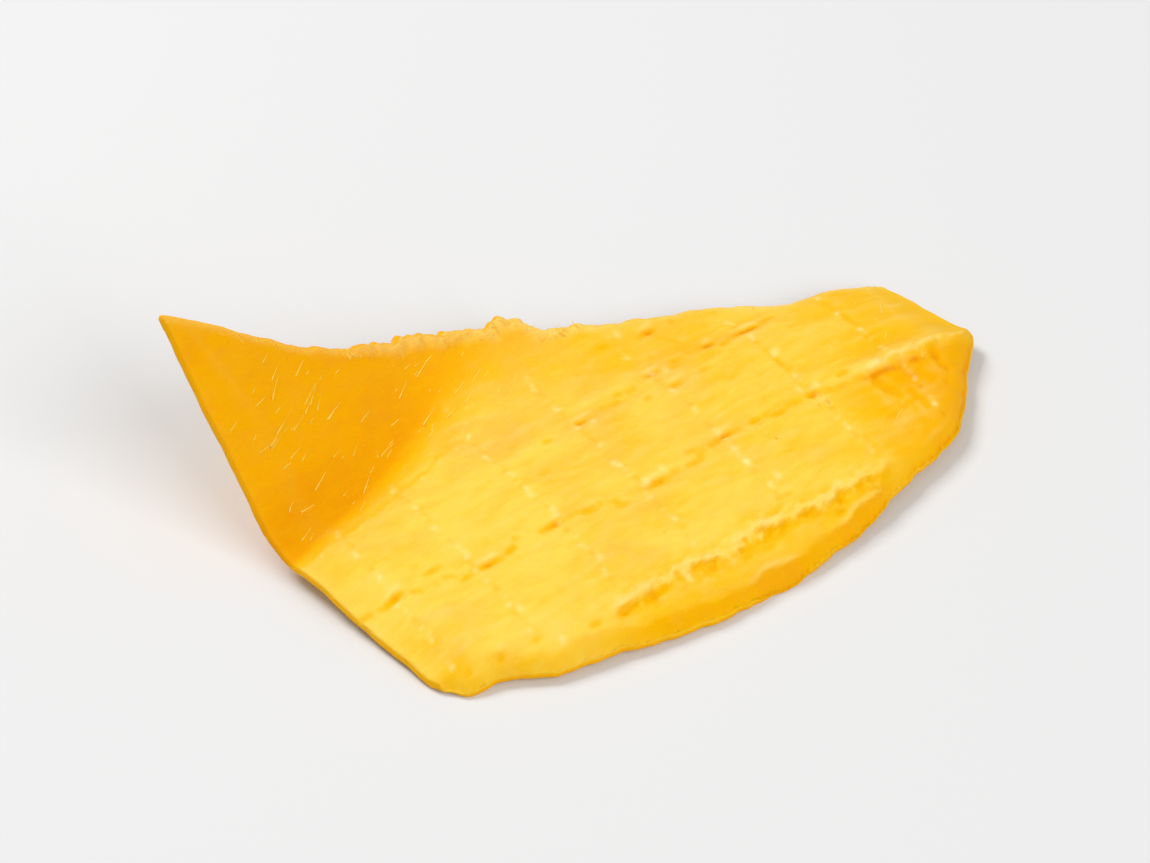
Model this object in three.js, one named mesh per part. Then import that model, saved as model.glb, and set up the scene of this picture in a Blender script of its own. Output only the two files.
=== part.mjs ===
// One slice of dried mango: a flat cut from the cheek of the fruit, trimmed by three knife
// cuts, that has curled up at one corner and arched a little while it dried.
//
// The slice is laid out flat first. In that flat state u runs along the fibres, towards the
// tip of the fruit, and v runs across them, from the rounded outer margin (negative v) to
// the straight cut beside the stone (positive v). Relief and thickness are added on the flat
// slice, then the corner is curled, and last the slice is set down on its low spots.
// Units are millimetres and degrees, +Z is up, and the origin is the middle of the footprint.
import * as THREE from "three";

// --- The outline, flat -------------------------------------------------------------------
// The uncut cheek is an egg-shaped oval, longer towards the stem than towards the tip.
const CHEEK = { centreU: 11.3, centreV: 11.3, halfWidth: 36.8, toStem: 54.6, toTip: 45.6 };
const STEM_CUT_AT_MARGIN = -20.9; // u where the cut across the stem end meets the margin
const TIP_CUT_AT_MARGIN = 49.0; // u where the cut across the tip end meets the margin
const STEM_STONE_CORNER = new THREE.Vector2(-28.9, 29.4); // the corner that curls up
const TIP_STONE_CORNER = new THREE.Vector2(46.5, 2.2);
const STEM_CUT_BOW = 0.15; // how far the stem cut bows into the slice
// Places where the edge leaves its smooth line: centre and reach along the edge, and depth,
// which is positive into the slice. Along the margin they are in mm of u.
const MARGIN_DENTS = [
  { at: -14.8, reach: 4.0, depth: 0.64 },
  { at: -3.2, reach: 5.0, depth: 0.45 },
  { at: 39.5, reach: 8.0, depth: -1.5 },
];
// Along the stone cut they are in shares of its length.
const STONE_CUT_DENTS = [
  { at: 0.23, reach: 0.25, depth: 2.74 },
  { at: 0.515, reach: 0.045, depth: -1.4 },
  { at: 0.865, reach: 0.075, depth: 1.3 },
];
const EDGE_WOBBLE = 0.22; // small unevenness of every edge

// --- Thickness ----------------------------------------------------------------------------
const THICKNESS = 3.0;
const CUT_THICKNESS = 1.1; // at the stem and tip cuts
const CUT_TAPER = 5;
const STONE_EDGE_THICKNESS = 1.4; // at the torn edge beside the stone
const STONE_TAPER = 9;
// Along the margin the top face sinks in a soft band and rolls over a round rim, or ends in a
// steep wall where the peeler took a flat.
const BAND = { drop: 0.5, width: 4.2 };
const ROLL = { drop: 1.7, width: 2.4 };
const WALL = { drop: 1.6, reach: 1.4 };
const PEELER_FLATS = [
  { at: 13.8, reach: 5.4, share: 1.0 },
  { at: 24.8, reach: 6.4, share: 0.85 },
  { at: 37.0, reach: 7.0, share: 0.4 },
];
const UNDER_RIM = { rise: 0.3, width: 1.2 }; // the rounding below the rim
const RIM_LEFT = 0.4; // the thinnest the rim gets
const SIDE_BULGE = 0.2; // how far the side face stands out half way down

// --- Relief of the two faces ----------------------------------------------------------------
const FIBRE_SWELL = 0.13; // height of the long low ridges along the fibres
const FRILL = { v: -20.9, from: 0, to: 33, height: 0.42, width: 1.4, pitch: 7.4 }; // a puckered line
const TIP_RIDGE = { v: -9.6, from: 28, to: 40, height: 0.75, width: 3.6 };
// Slits where thick fibres end: u, v, length along the fibre, depth.
const SLITS = [
  [30.0, 2.8, 5.0, 0.5],
  [18.5, 3.0, 3.0, 0.35],
  [9.3, 1.5, 3.4, 0.25],
  [22.2, 8.8, 3.0, 0.25],
  [29.2, -9.4, 2.4, 0.55],
  [18.4, -9.0, 3.8, 0.45],
  [10.0, -10.2, 3.2, 0.35],
  [-1.6, -9.2, 2.8, 0.3],
  [-9.8, -10.0, 3.4, 0.3],
  [-19.2, -7.5, 3.2, 0.35],
  [-2.2, -21.6, 2.6, 0.55],
];
const SLIT_WIDTH = 0.95;

// --- How it warped while drying --------------------------------------------------------------
const ARCH = { crest: -8, flatAbove: 6, fall: 0.0075 }; // across the fibres, per mm
const TIP_DROOP = { from: 26, fall: 0.0042 }; // towards the tip, per mm
const STEM_DROOP = { from: -6, fall: 0.0085, above: 2, reach: 14 }; // the low corner of the stem cut
const WAVINESS = 0.25;
// The corner curls about the creases of a cone: they fan out from a point just off the stem
// cut, so the bend is tight at the cut and wide at the stone edge.
const CURL = { apex: new THREE.Vector3(-28.6, 1.6, 0), first: 0, last: 36.4, total: 55, creases: 24 };

// --- How it lies ------------------------------------------------------------------------------
const FIBRE_HEADING = 35; // the fibres against +X, seen from above
const LEAN = { aboutX: -0.8, aboutY: -1.2 }; // turns the three low spots level
const FLAT_SPOT = 0.27; // how much of each low spot is pressed flat

// --- The grid of the mesh ---------------------------------------------------------------------
const CELLS_ALONG = 60;
const CELLS_ACROSS = 34;
const CROWDING = 1.25; // draws the grid lines along the slice towards the margin

const FLESH = { color: 0xffbe2e, roughness: 0.55, metalness: 0 };

const { degToRad, lerp, clamp, smoothstep } = THREE.MathUtils;

// A smooth hump, 1 at the middle and 0 from one reach away.
function hump(distance, reach) {
  if (Math.abs(distance) >= reach) return 0;
  return Math.cos((Math.PI / 2) * (distance / reach)) ** 2;
}

// An even-looking irregular wave between about -1 and 1: three sines that don't share a beat.
function wander(x, phase = 0) {
  const slow = 0.5 * Math.sin(x + phase);
  const middling = 0.3 * Math.sin(2.17 * x + 1.3 + 2 * phase);
  const quick = 0.2 * Math.sin(4.41 * x + 0.4 - phase);
  return slow + middling + quick;
}

// The margin at a share s of the way from the stem cut to the tip cut: an arc of the oval.
function marginPoint(s) {
  const stemAngle = -Math.asin((CHEEK.centreU - STEM_CUT_AT_MARGIN) / CHEEK.toStem);
  const tipAngle = Math.asin((TIP_CUT_AT_MARGIN - CHEEK.centreU) / CHEEK.toTip);
  const angle = lerp(stemAngle, tipAngle, s);
  const u = CHEEK.centreU + Math.sin(angle) * (angle < 0 ? CHEEK.toStem : CHEEK.toTip);
  let v = CHEEK.centreV - Math.cos(angle) * CHEEK.halfWidth;
  for (const dent of MARGIN_DENTS) v += dent.depth * hump(u - dent.at, dent.reach);
  return new THREE.Vector2(u, v + EDGE_WOBBLE * wander(0.7 * u));
}

// The cut beside the stone at a share s of the way from the stem cut to the tip cut.
function stonePoint(s) {
  const point = new THREE.Vector2().lerpVectors(STEM_STONE_CORNER, TIP_STONE_CORNER, s);
  for (const dent of STONE_CUT_DENTS) point.y -= dent.depth * hump(s - dent.at, dent.reach);
  point.y += EDGE_WOBBLE * 1.6 * wander(1.1 * point.x, 2) * Math.sin(Math.PI * s);
  return point;
}

const MARGIN_SPAN = marginPoint(0).distanceTo(marginPoint(1));
const STONE_CUT_SPAN = STEM_STONE_CORNER.distanceTo(TIP_STONE_CORNER);

// The flat point at shares s along the slice and t across it, with its distances to the edges.
// The shifts of the two short cuts fade out over the grid lines next to them.
function flatPoint(s, t) {
  const margin = marginPoint(s);
  const stone = stonePoint(s);
  const rib = margin.distanceTo(stone);
  const length = lerp(MARGIN_SPAN, STONE_CUT_SPAN, t);
  const point = margin.clone().lerp(stone, t);
  const stemCutShift = STEM_CUT_BOW * Math.sin(Math.PI * t) + 0.5 * EDGE_WOBBLE * wander(0.5 * point.y, 1);
  const tipCutShift = 0.5 * EDGE_WOBBLE * wander(1.3 * point.y, 3);
  point.x += (1 - s) ** 5 * stemCutShift + s ** 8 * tipCutShift;
  return {
    u: point.x,
    v: point.y,
    toMargin: t * rib,
    toStone: (1 - t) * rib,
    toStem: s * length,
    toTip: (1 - s) * length,
  };
}

// How much the edges take off the top face and off the bottom face there.
function trimmed({ u, toMargin, toStone, toStem, toTip }) {
  const cut = lerp(CUT_THICKNESS, THICKNESS, smoothstep(Math.min(toStem, toTip), 0, CUT_TAPER));
  const stone = lerp(STONE_EDGE_THICKNESS, THICKNESS, smoothstep(toStone, -2, STONE_TAPER));
  const byCuts = (THICKNESS - Math.min(cut, stone)) / 2;
  let flat = 0;
  for (const { at, reach, share } of PEELER_FLATS) flat += share * hump(u - at, reach);
  const wall = WALL.drop * flat * clamp(1 - toMargin / lerp(0.3, WALL.reach, flat), 0, 1);
  const nearRim = clamp(1 - toMargin / ROLL.width, 0, 1);
  const roll = ROLL.drop * (1 - 0.7 * flat) * (1 - Math.sqrt(1 - 0.96 * nearRim ** 2));
  const band = BAND.drop * (1 - smoothstep(toMargin, 0, BAND.width));
  const below = Math.max(UNDER_RIM.rise * (1 - smoothstep(toMargin, 0, UNDER_RIM.width)), byCuts);
  const above = Math.min(Math.max(band + roll + wall, byCuts), THICKNESS - RIM_LEFT - below);
  return { above, below };
}

// Relief that both faces share in kind, though not line for line.
function fibreSwell(u, v, phase) {
  const along = 0.75 + 0.25 * wander(0.11 * u, phase);
  return FIBRE_SWELL * along * wander(1.35 * v + 0.35 * Math.sin(0.09 * u + phase), phase);
}

// The puckered line along the fibres, inside the margin, and the shallow groove beyond it.
function frill(u, v) {
  const beat = (2 * Math.PI * u) / FRILL.pitch;
  const inside = v - FRILL.v - 0.4 * wander(beat / 1.8);
  const present = smoothstep(u, FRILL.from - 3, FRILL.from + 3) * smoothstep(-u, -FRILL.to - 3, 3 - FRILL.to);
  const pucker = 0.55 + 0.45 * Math.sin(beat + Math.sin(0.21 * u));
  const groove = hump(inside + 1.4 * FRILL.width, 1.4 * FRILL.width);
  return present * FRILL.height * (pucker * hump(inside, FRILL.width) - 0.5 * groove);
}

function slits(u, v) {
  let depth = 0;
  for (const [slitU, slitV, length, deep] of SLITS) {
    depth += deep * Math.exp(-(((u - slitU) / (0.5 * length)) ** 2) - ((v - slitV) / SLIT_WIDTH) ** 2);
  }
  return depth;
}

// How far the sheet as a whole stands above or below its flat plane.
function warp(u, v) {
  const across = Math.min(v, ARCH.flatAbove) - ARCH.crest;
  const towardsTip = Math.max(0, u - TIP_DROOP.from);
  const towardsStem = Math.max(0, STEM_DROOP.from - u);
  const inLowCorner = smoothstep(STEM_DROOP.above - v, 0, STEM_DROOP.reach);
  const arch = ARCH.fall * across ** 2;
  const droop = TIP_DROOP.fall * towardsTip ** 2 + STEM_DROOP.fall * towardsStem ** 2 * inLowCorner;
  const ridgeRise = TIP_RIDGE.height * smoothstep(u, TIP_RIDGE.from, TIP_RIDGE.to);
  const ridge = ridgeRise * hump(v - TIP_RIDGE.v, TIP_RIDGE.width);
  return ridge - arch - droop + WAVINESS * wander(0.13 * u + 0.05 * v, 4);
}

function topHeight(place) {
  const { u, v } = place;
  const relief = fibreSwell(u, v, 0) + frill(u, v) - slits(u, v);
  return Math.max(THICKNESS / 2 - trimmed(place).above + relief, bottomHeight(place) + RIM_LEFT);
}

function bottomHeight(place) {
  return -THICKNESS / 2 + trimmed(place).below + fibreSwell(place.u, place.v, 5);
}

// Curls a point of the flat slice: it turns about each crease that it lies beyond, the
// furthest crease first, so every crease still lies in the flat plane when its turn comes.
function curl(point) {
  const { apex, first, last, total, creases } = CURL;
  const fan = Math.atan2(point.y - apex.y, point.x - apex.x);
  const curled = point.clone().sub(apex);
  for (let i = creases - 1; i >= 0; i--) {
    const share = (i + 0.5) / creases;
    const heading = degToRad(lerp(first, last, share));
    if (fan <= heading) continue;
    const turn = degToRad(total / creases) * 1.5 * (1 - (2 * share - 1) ** 2);
    curled.applyAxisAngle(new THREE.Vector3(Math.cos(heading), Math.sin(heading), 0), turn);
  }
  return curled.add(apex);
}

// One corner of the mesh. level is 1 on the top face, -1 on the bottom face and 0 half way
// down the side, where the side bulges outwards.
function vertex(s, t, level) {
  const place = flatPoint(s, t);
  const top = topHeight(place);
  const bottom = bottomHeight(place);
  const height = lerp(bottom, top, (level + 1) / 2);
  const point = new THREE.Vector3(place.u, place.v, height);
  if (level === 0) {
    const outward = new THREE.Vector3((s === 1) - (s === 0), (t === 1) - (t === 0), 0).normalize();
    point.addScaledVector(outward, SIDE_BULGE);
  }
  point.z += warp(place.u, place.v);
  return curl(point);
}

// The closed mesh: a grid for each face, and two rows of side faces round the rim.
function sliceGeometry() {
  const positions = [];
  const indices = [];
  const add = (point) => {
    positions.push(point.x, point.y, point.z);
    return positions.length / 3 - 1;
  };
  const across = (j) => (j / CELLS_ACROSS) ** CROWDING;
  const rib = (i, level) =>
    Array.from({ length: CELLS_ACROSS + 1 }, (_, j) => add(vertex(i / CELLS_ALONG, across(j), level)));
  const face = (level) => Array.from({ length: CELLS_ALONG + 1 }, (_, i) => rib(i, level));
  const top = face(1);
  const bottom = face(-1);

  const quad = (a, b, c, d) => indices.push(a, b, c, a, c, d);
  for (let i = 0; i < CELLS_ALONG; i++) {
    for (let j = 0; j < CELLS_ACROSS; j++) {
      quad(top[i][j], top[i + 1][j], top[i + 1][j + 1], top[i][j + 1]);
      quad(bottom[i][j], bottom[i][j + 1], bottom[i + 1][j + 1], bottom[i + 1][j]);
    }
  }

  // The rim runs along the margin, up the tip cut, back along the stone cut and down the stem cut.
  const rim = [];
  for (let i = 0; i < CELLS_ALONG; i++) rim.push([i, 0]);
  for (let j = 0; j < CELLS_ACROSS; j++) rim.push([CELLS_ALONG, j]);
  for (let i = CELLS_ALONG; i > 0; i--) rim.push([i, CELLS_ACROSS]);
  for (let j = CELLS_ACROSS; j > 0; j--) rim.push([0, j]);
  const side = rim.map(([i, j]) => add(vertex(i / CELLS_ALONG, across(j), 0)));
  rim.forEach(([i, j], k) => {
    const next = (k + 1) % rim.length;
    const [nextI, nextJ] = rim[next];
    quad(bottom[i][j], bottom[nextI][nextJ], side[next], side[k]);
    quad(side[k], side[next], top[nextI][nextJ], top[i][j]);
  });

  const geometry = new THREE.BufferGeometry();
  geometry.setAttribute("position", new THREE.Float32BufferAttribute(positions, 3));
  geometry.setIndex(indices);
  return geometry;
}

// Turns the slice to its heading, leans it onto its low spots, presses those flat against
// the surface it lies on, and centres its footprint on the origin.
function setDown(geometry) {
  geometry.rotateZ(degToRad(FIBRE_HEADING));
  geometry.rotateX(degToRad(LEAN.aboutX));
  geometry.rotateY(degToRad(LEAN.aboutY));
  geometry.computeBoundingBox();
  const box = geometry.boundingBox;
  const middle = box.getCenter(new THREE.Vector3());
  geometry.translate(-middle.x, -middle.y, -box.min.z - FLAT_SPOT);
  const position = geometry.getAttribute("position");
  for (let i = 0; i < position.count; i++) position.setZ(i, Math.max(0, position.getZ(i)));
  geometry.computeVertexNormals();
  return geometry;
}

const slice = new THREE.Mesh(setDown(sliceGeometry()), new THREE.MeshStandardMaterial(FLESH));
slice.name = "mango_slice";

const driedMango = new THREE.Group();
driedMango.add(slice);

export default driedMango;
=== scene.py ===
# %% [markdown]
# # A slice of dried mango
#
# The real thing is a flat cut from the cheek of a mango. It was peeled, trimmed with three
# straight knife cuts and dried until it turned leathery, and while it dried it arched a
# little and one corner curled up. This lesson follows the same order. The slice is worked
# flat and curled last, because on a flat slice every mark can be placed by two numbers: u,
# along the fibres, and v, across them. The fixed model says how large it is and where.

import math
import random

import bmesh
import bpy
import numpy as np
from mathutils import Matrix, Vector
from mathutils.bvhtree import BVHTree
from mathutils.kdtree import KDTree


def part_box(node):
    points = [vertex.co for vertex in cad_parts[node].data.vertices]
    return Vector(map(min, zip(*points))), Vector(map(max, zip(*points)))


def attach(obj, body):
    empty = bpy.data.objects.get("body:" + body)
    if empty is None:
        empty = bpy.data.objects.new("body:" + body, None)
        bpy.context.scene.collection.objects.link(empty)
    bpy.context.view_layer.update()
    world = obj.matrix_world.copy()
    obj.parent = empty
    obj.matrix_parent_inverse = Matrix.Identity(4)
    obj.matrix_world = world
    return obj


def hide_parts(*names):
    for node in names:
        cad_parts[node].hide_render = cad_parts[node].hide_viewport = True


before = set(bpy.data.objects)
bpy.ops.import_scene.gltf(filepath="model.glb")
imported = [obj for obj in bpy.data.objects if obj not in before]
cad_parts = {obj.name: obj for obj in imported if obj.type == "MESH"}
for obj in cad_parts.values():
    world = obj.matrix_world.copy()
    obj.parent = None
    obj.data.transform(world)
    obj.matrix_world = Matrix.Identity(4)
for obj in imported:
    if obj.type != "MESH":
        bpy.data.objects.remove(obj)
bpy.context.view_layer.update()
MM = 0.001
NODE = "mango_slice"
low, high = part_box(NODE)
print("the fixed slice in mm:", [round(side / MM, 1) for side in high - low])

# %% [markdown]
# ## Small helpers
#
# Operators act on whatever is selected. So each step first makes one piece the only one
# selected, and then picks the points it works on by their place, as a maker does by click.


# %% Choosing what to work on
TOUCHING = 1e-7  # metres


def only(piece, mode="OBJECT"):
    """Makes the piece the only selected one, in object or edit mode."""
    if bpy.context.mode != "OBJECT":
        bpy.ops.object.mode_set(mode="OBJECT")
    bpy.ops.object.select_all(action="DESELECT")
    piece.select_set(True)
    bpy.context.view_layer.objects.active = piece
    bpy.ops.object.mode_set(mode=mode)


def everything(action="SELECT"):
    """In edit mode, selects every point, or with DESELECT none."""
    bpy.ops.mesh.select_all(action=action)


def pick(piece, test):
    """In edit mode, selects the points whose place passes the test, and returns how many."""
    everything("DESELECT")
    shape = bmesh.from_edit_mesh(piece.data)
    chosen = [point for point in shape.verts if test(point.co)]
    for point in chosen:
        point.select_set(True)
    shape.select_flush(True)
    return len(chosen)


# %% [markdown]
# ## The outline
#
# Seen flat, the cheek of a mango is an oval, longer towards the stem than towards the tip.
# A filled circle is the quickest start: each half is stretched by its own amount, and three
# bisections, the knife cuts, drop what lies outside them. What is left of the round side is
# the margin, where the peel was.

# %% The cheek as an oval
HALF_WIDTH = 36.8 * MM
TO_STEM = 54.6 * MM
TO_TIP = 45.6 * MM
CHEEK_CENTRE = Vector((11.3, 11.3, 0)) * MM
ROUND_POINTS = 720

bpy.ops.object.select_all(action="DESELECT")
bpy.ops.mesh.primitive_circle_add(vertices=ROUND_POINTS, radius=HALF_WIDTH, fill_type="NGON")
mango = bpy.context.object
mango.name = "dried_mango_slice"
only(mango, "EDIT")
for side, reach in ((-1, TO_STEM), (1, TO_TIP)):
    pick(mango, lambda place: place.x * side > 0)
    bpy.ops.transform.resize(value=(reach / HALF_WIDTH, 1, 1), center_override=(0, 0, 0))
everything()
bpy.ops.transform.translate(value=CHEEK_CENTRE)

# %% Three knife cuts
STEM_CUT_AT_MARGIN = -20.9 * MM
TIP_CUT_AT_MARGIN = 49.0 * MM
STEM_STONE = Vector((-28.9, 29.4, 0)) * MM
TIP_STONE = Vector((46.5, 2.2, 0)) * MM


def on_margin(u):
    """The point of the oval's outer side at u."""
    reach = TO_STEM if u < CHEEK_CENTRE.x else TO_TIP
    across = HALF_WIDTH * math.sqrt(1 - ((u - CHEEK_CENTRE.x) / reach) ** 2)
    return Vector((u, CHEEK_CENTRE.y - across, 0))


def knife(start, end):
    """Cuts from start to end and drops what lies to the right of the cut."""
    along = (end - start).normalized()
    outwards = (along.y, -along.x, 0)
    everything()
    bpy.ops.mesh.bisect(plane_co=start, plane_no=outwards, clear_outer=True, threshold=TOUCHING)


CUTS = {
    "tip": (on_margin(TIP_CUT_AT_MARGIN), TIP_STONE),
    "stone": (TIP_STONE, STEM_STONE),
    "stem": (STEM_STONE, on_margin(STEM_CUT_AT_MARGIN)),
}
for start, end in CUTS.values():
    knife(start, end)
print("cut lengths in mm:", {name: round((b - a).length / MM, 1) for name, (a, b) in CUTS.items()})

# %% [markdown]
# A knife cut is one long edge with no points along it, so it couldn't bend. Halving every
# edge that is still too long gives the cuts the same fine spacing as the margin.

# %% Points along the cuts
EDGE_STEP = 0.4 * MM

too_long = True
while too_long:
    everything("DESELECT")
    shape = bmesh.from_edit_mesh(mango.data)
    too_long = [edge for edge in shape.edges if edge.calc_length() > EDGE_STEP]
    for edge in too_long:
        edge.select_set(True)
    if too_long:
        bpy.ops.mesh.subdivide(number_cuts=1)
print("points round the outline:", len(bmesh.from_edit_mesh(mango.data).verts))

# %% [markdown]
# ## Uneven edges
#
# The torn cut beside the stone is hollow on its long side, with a frayed bump half way, and
# the margin has dents from the peeler. Each is one point moved with proportional editing,
# which draws its neighbours along. Then an irregular wave makes every edge a little uneven.

# %% Dents and bumps of the outline
# u, reach and depth in mm; the torn cut's place and reach are shares of its length.
MARGIN_DENTS = [(-14.8, 4.0, 0.64), (-3.2, 5.0, 0.45), (39.5, 8.0, -1.5)]
STONE_DENTS = [(0.23, 0.25, 2.74), (0.515, 0.045, -1.4), (0.865, 0.075, 1.3)]
CORNER_SHIFT, CORNER_REACH = Vector((0.35, 0.6, 0)) * MM, 2.2 * MM
ON_LINE = 1e-6  # metres


def pull(shift, reach):
    """Moves what is selected, and draws what lies within reach along with it."""
    bpy.ops.transform.translate(
        value=shift,
        use_proportional_edit=True,
        proportional_edit_falloff="SMOOTH",
        proportional_size=reach,
    )


def drag(piece, place, shift, reach):
    """Pulls the point of the outline that is nearest to the place."""
    shape = bmesh.from_edit_mesh(piece.data)
    nearest = min(shape.verts, key=lambda point: (point.co - place).length).co.copy()
    pick(piece, lambda co: (co - nearest).length < TOUCHING)
    pull(shift, reach)


def cut_of(place):
    """The name of the cut that the point lies on, or margin."""
    for name, (start, end) in CUTS.items():
        along = (end - start).normalized()
        if (place - start).cross(along).length < ON_LINE:
            return name
    return "margin"


edge_of = [cut_of(point.co) for point in bmesh.from_edit_mesh(mango.data).verts]
stone_line = TIP_STONE - STEM_STONE
for u, reach, depth in MARGIN_DENTS:
    drag(mango, on_margin(u * MM), Vector((0, depth * MM, 0)), reach * MM)
for share, reach, depth in STONE_DENTS:
    drag(mango, STEM_STONE + share * stone_line, Vector((0, -depth * MM, 0)), reach * stone_line.length)
drag(mango, CUTS["stem"][1], CORNER_SHIFT, CORNER_REACH)
print("dents and bumps:", len(MARGIN_DENTS) + len(STONE_DENTS))

# %% The fine unevenness
EDGE_WAVES = {  # height in mm, how close together, and where in the wave the edge begins
    "margin": (0.22, 0.7, 0),
    "stone": (0.352, 1.1, 2),
    "stem": (0.11, 0.5, 1),
    "tip": (0.11, 1.3, 3),
}
STEM_CUT_BOW, STEM_CUT_FROM, STEM_CUT_SPAN = 0.15, -18, 47
FRAY_BEGINS, FRAY_ENDS, FRAY_HEIGHT = (-12, -2), (15, 22), 0.35


def wander(x, phase=0):
    """An irregular wave between about -1 and 1: three sines that don't share a beat."""
    slow = 0.5 * np.sin(x + phase)
    middling = 0.3 * np.sin(2.17 * x + 1.3 + 2 * phase)
    return slow + middling + 0.2 * np.sin(4.41 * x + 0.4 - phase)


def ease(x, start, end):
    """Rises smoothly from 0 at start to 1 at end."""
    share = np.clip((x - start) / (end - start), 0, 1)
    return share * share * (3 - 2 * share)


def within(x, rise, fall):
    """Rises smoothly from 0 to 1 over the rise, and goes back to 0 over the fall."""
    return ease(x, *rise) * ease(-x, -fall[1], -fall[0])


def frayed(u):
    """How torn the stone edge is at u: most in the middle of its length."""
    return within(u, FRAY_BEGINS, FRAY_ENDS)


shape = bmesh.from_edit_mesh(mango.data)
outline = {"margin": [], "tip": [], "stone": [], "stem": []}
for point, edge in zip(shape.verts, edge_of):
    u, v = point.co.x / MM, point.co.y / MM
    height, pace, start = EDGE_WAVES[edge]
    share = (point.co - STEM_STONE).dot(stone_line) / stone_line.length_squared
    if edge == "margin":
        point.co.y += height * wander(pace * u, start) * MM
    elif edge == "stone":
        point.co.y += height * wander(pace * u, start) * math.sin(math.pi * share) * MM
        point.co.y += FRAY_HEIGHT * wander(4.7 * u + 2 * wander(0.9 * u), 5) * frayed(u) * MM
    else:
        point.co.x += height * wander(pace * v, start) * MM
    if edge == "stem":
        point.co.x += STEM_CUT_BOW * math.sin(math.pi * (v - STEM_CUT_FROM) / STEM_CUT_SPAN) * MM
    outline[edge].append(point.co.copy())
print("points on each edge:", {name: len(points) for name, points in outline.items()})

# %% [markdown]
# ## From outline to flesh
#
# The outline is extruded into a slab, and a ring round its side is swollen a little, as
# the side of a drying slice is. A voxel remesh then turns the slab into an even skin of
# small squares with softly rounded corners, fine enough to press marks into.

# %% The slab
THICKNESS = 3.0
SIDE_BULGE = 0.2
VOXEL = 0.265
ROUNDING_PASSES = 4

everything()
bpy.ops.transform.translate(value=(0, 0, -THICKNESS / 2 * MM))
bpy.ops.mesh.extrude_region_move(TRANSFORM_OT_translate={"value": (0, 0, THICKNESS * MM)})
everything()
bpy.ops.mesh.normals_make_consistent(inside=False)
bpy.ops.mesh.bisect(plane_co=(0, 0, 0), plane_no=(0, 0, 1))
pick(mango, lambda place: abs(place.z) < TOUCHING)
bpy.ops.transform.shrink_fatten(value=SIDE_BULGE * MM)
only(mango)


def finish(piece, kind, **settings):
    """Adds a modifier with its settings, and applies it."""
    modifier = piece.modifiers.new(kind.lower(), kind)
    for name, value in settings.items():
        setattr(modifier, name, value)
    only(piece)
    bpy.ops.object.modifier_apply(modifier=modifier.name)


finish(mango, "REMESH", mode="VOXEL", voxel_size=VOXEL * MM)
finish(mango, "SMOOTH", factor=0.5, iterations=ROUNDING_PASSES)
print("squares in the skin:", len(mango.data.polygons))

# %% [markdown]
# ## Where each point lies on the fruit
#
# From here on every mark is placed by u and v, so they are read once from the slab and kept
# on the mesh as an attribute called flat. Curling moves the points but not this attribute,
# so a colour or a grain that follows it stays with the flesh.


# %% The flat map
def places_of(piece):
    """The places of all points of a piece, in mm, one row each."""
    places = np.zeros(len(piece.data.vertices) * 3)
    piece.data.vertices.foreach_get("co", places)
    return places.reshape(-1, 3) / MM


def keep(piece, name, values, kind="FLOAT"):
    """Stores one value for each point under a name that a material can read."""
    attribute = piece.data.attributes.new(name, kind, "POINT")
    field = "vector" if kind == "FLOAT_VECTOR" else "value"
    attribute.data.foreach_set(field, np.asarray(values, np.float32).ravel())


def share_of(test):
    """The share of the skin's points that pass a test."""
    return round(float(test.mean()), 2)


flat = places_of(mango)
keep(mango, "flat", flat, "FLOAT_VECTOR")
u, v, up = flat.T
on_top = np.clip(up / (THICKNESS / 2), 0, 1)
below = np.clip(-up / (THICKNESS / 2), 0, 1)
share_up = np.clip(up / THICKNESS + 0.5, 0, 1)


def tree_of(places):
    """A search tree that finds the nearest of the places."""
    tree = KDTree(len(places))
    for index, place in enumerate(places):
        tree.insert(place, index)
    tree.balance()
    return tree


def distance_to(points):
    """How far each point of the slab is from an edge of the outline, in mm."""
    tree = tree_of(points)
    return np.array([tree.find((x * MM, y * MM, 0))[2] for x, y in zip(u, v)]) / MM


to_edge = {name: distance_to(points) for name, points in outline.items()}
to_cut = np.minimum(to_edge["stem"], to_edge["tip"])
print("flat size in mm:", np.round(np.ptp(flat, axis=0), 1))

# %% [markdown]
# ## Painting and pushing
#
# A broad form, such as a thin edge or the arch of the whole slice, is made in two moves. It
# is painted on the mesh as a vertex group, as with a soft brush, and a Displace modifier
# then pushes what is painted up or down. The weights come from a formula in u and v instead
# of a hand, so they can be as smooth as the real form.


# %% Paint and push
def hump(distance, reach):
    """A smooth hump, 1 at the middle and 0 from one reach away."""
    inside = np.clip(np.abs(distance) / reach, 0, 1)
    return np.cos(np.pi / 2 * inside) ** 2


def mix(a, b, share):
    """Goes from a to b as the share goes from 0 to 1."""
    return a + (b - a) * share


def push(piece, name, weights, height, **settings):
    """Paints the weights as a vertex group, and pushes what is painted along Z, in mm."""
    group = piece.vertex_groups.new(name=name)
    for index in np.flatnonzero(weights > 0.001):
        group.add([int(index)], float(weights[index]), "REPLACE")
    options = {"direction": "Z", "mid_level": 0, **settings}
    finish(piece, "DISPLACE", strength=height * MM, vertex_group=name, **options)
    piece.vertex_groups.clear()


# %% [markdown]
# ## Thin edges
#
# A dried slice is thickest in the middle. It thins to the knife cuts and to the torn edge
# from both faces. Along the margin the top face sinks in a soft band and rolls over a
# round rim, or ends in a steep wall where the peeler took a flat. The face is pushed down by
# the sum of these, and the bottom only has its rim rounded.

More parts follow.
